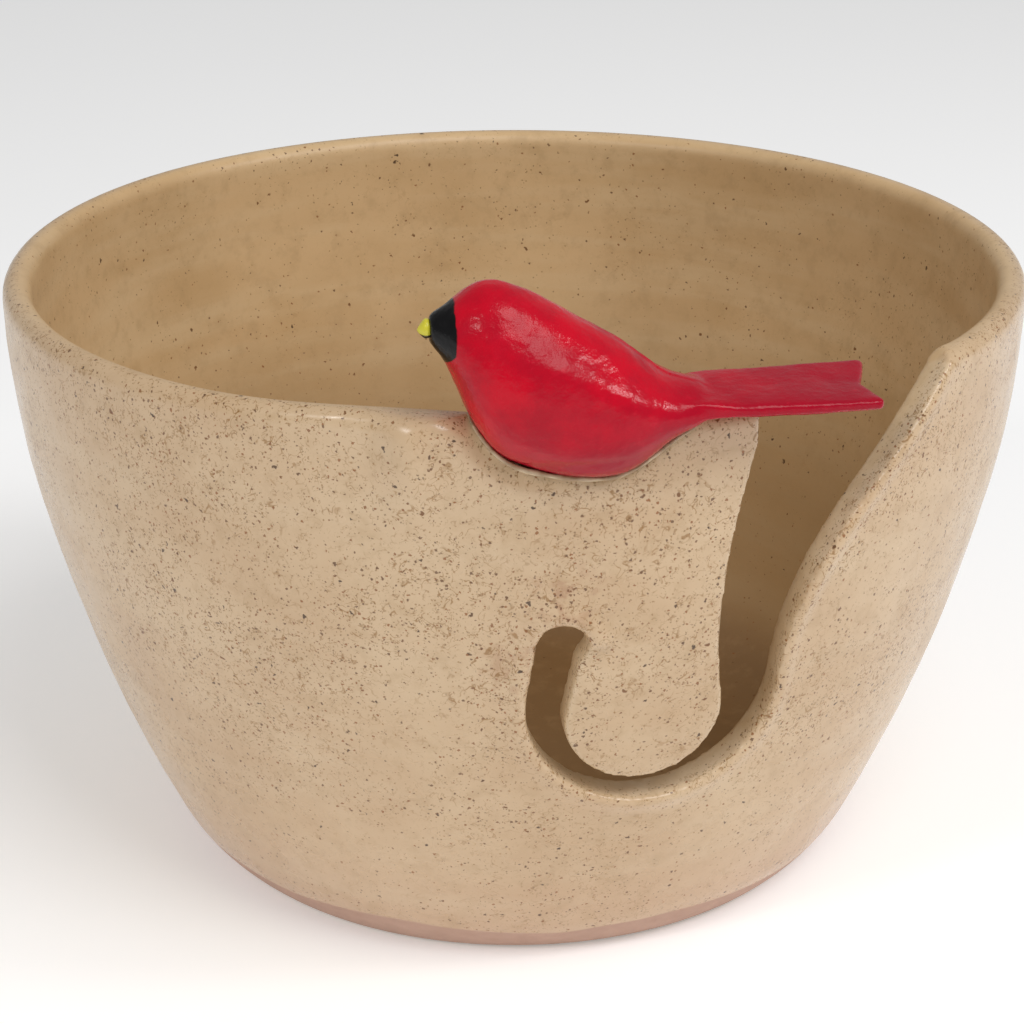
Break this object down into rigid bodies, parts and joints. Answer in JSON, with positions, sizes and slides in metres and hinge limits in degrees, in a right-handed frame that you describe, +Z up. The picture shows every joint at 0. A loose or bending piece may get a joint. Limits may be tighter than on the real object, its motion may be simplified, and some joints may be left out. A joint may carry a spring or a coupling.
{
  "type": "yarn bowl",
  "caption": "Round glazed stoneware bowl with a J-shaped yarn slot in its wall and a small clay bird glued on the rim; holds a ball of yarn while knitting.",
  "frame": {"origin": "middle of the flat foot, on the bowl's axis", "axes": "+Z up along the bowl's axis; -Y towards the front, where the bird sits; the bird looks towards -X and the slot opens on its +X side"},
  "size_m": [0.178, 0.1863, 0.1283],
  "materials": {
    "stoneware_glaze": "satin speckled glaze",
    "bird_glaze": "gloss",
    "beak_glaze": "gloss",
    "clear_glue": "clear gloss"
  },
  "bodies": {
    "root": {"bowl": "stoneware_glaze", "bird": "bird_glaze", "beak": "beak_glaze", "glue_bed": "clear_glue"}
  },
  "joints": []
}
